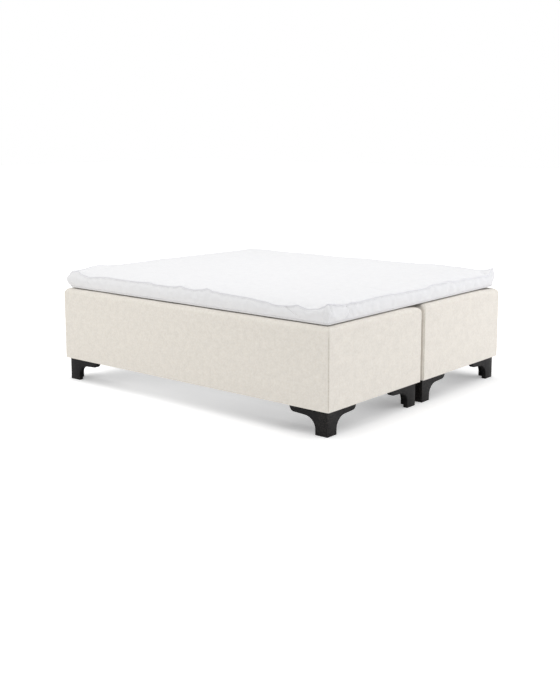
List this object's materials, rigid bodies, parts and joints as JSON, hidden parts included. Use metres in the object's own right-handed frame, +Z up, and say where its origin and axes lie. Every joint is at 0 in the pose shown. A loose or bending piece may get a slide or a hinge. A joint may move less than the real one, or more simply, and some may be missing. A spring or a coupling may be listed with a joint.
{
  "type": "double bed",
  "caption": "Double bed of upholstered spring base units side by side on black bracket legs, with one white topper across them",
  "frame": {"origin": "on the floor at the centre of the bed's plan outline", "axes": "+Z up, +Y towards the head end, +X towards the right unit as seen from the foot end"},
  "size_m": [1.8, 2.1, 0.7074],
  "materials": {
    "base_fabric": "matte",
    "topper_fabric": "matte",
    "foam": "matte",
    "felt": "matte",
    "spring_pockets": "matte",
    "dust_cloth": "matte",
    "timber": "matte",
    "board": "matte",
    "leg_lacquer": "satin",
    "steel": "satin",
    "zip": "satin"
  },
  "bodies": {
    "left_base": {"left_cover": "base_fabric", "left_border_foam": "foam", "left_top_foam": "foam", "left_felt_pad": "felt", "left_spring_core": "spring_pockets", "left_deck": "board", "left_dust_cover": "dust_cloth", "left_side_rail_outer": "timber", "left_side_rail_inner": "timber", "left_end_rail_head": "timber", "left_end_rail_foot": "timber", "left_cross_rail": "timber", "left_corner_block_head_outer": "timber", "left_corner_block_head_inner": "timber", "left_corner_block_foot_outer": "timber", "left_corner_block_foot_inner": "timber", "left_leg_head_outer": "leg_lacquer", "left_leg_head_inner": "leg_lacquer", "left_leg_foot_outer": "leg_lacquer", "left_leg_foot_inner": "leg_lacquer", "left_leg_bolt_head_outer": "steel", "left_leg_bolt_head_inner": "steel", "left_leg_bolt_foot_outer": "steel", "left_leg_bolt_foot_inner": "steel", "left_link_tongue_head": "steel", "left_link_tongue_foot": "steel"},
    "right_base": {"right_cover": "base_fabric", "right_border_foam": "foam", "right_top_foam": "foam", "right_felt_pad": "felt", "right_spring_core": "spring_pockets", "right_deck": "board", "right_dust_cover": "dust_cloth", "right_side_rail_outer": "timber", "right_side_rail_inner": "timber", "right_end_rail_head": "timber", "right_end_rail_foot": "timber", "right_cross_rail": "timber", "right_corner_block_head_outer": "timber", "right_corner_block_head_inner": "timber", "right_corner_block_foot_outer": "timber", "right_corner_block_foot_inner": "timber", "right_leg_head_outer": "leg_lacquer", "right_leg_head_inner": "leg_lacquer", "right_leg_foot_outer": "leg_lacquer", "right_leg_foot_inner": "leg_lacquer", "right_leg_bolt_head_outer": "steel", "right_leg_bolt_head_inner": "steel", "right_leg_bolt_foot_outer": "steel", "right_leg_bolt_foot_inner": "steel", "right_link_keeper_head": "steel", "right_link_keeper_foot": "steel"},
    "topper": {"topper_cover_top": "topper_fabric", "topper_cover_base": "topper_fabric", "topper_core": "foam", "topper_zip_chain": "zip"},
    "zip_slider": {"topper_zip_slider": "zip"}
  },
  "joints": [
    {"name": "right_base_slide", "type": "slide", "parent": "left_base", "child": "right_base", "axis": [1, 0, 0], "range_m": [0, 0.3]},
    {"name": "topper_lift", "type": "slide", "parent": "left_base", "child": "topper", "axis": [0, 0, 1], "range_m": [0, 0.3]},
    {"name": "zip_slide", "type": "slide", "parent": "topper", "child": "zip_slider", "axis": [1, 0, 0], "range_m": [0, 1.58]}
  ]
}
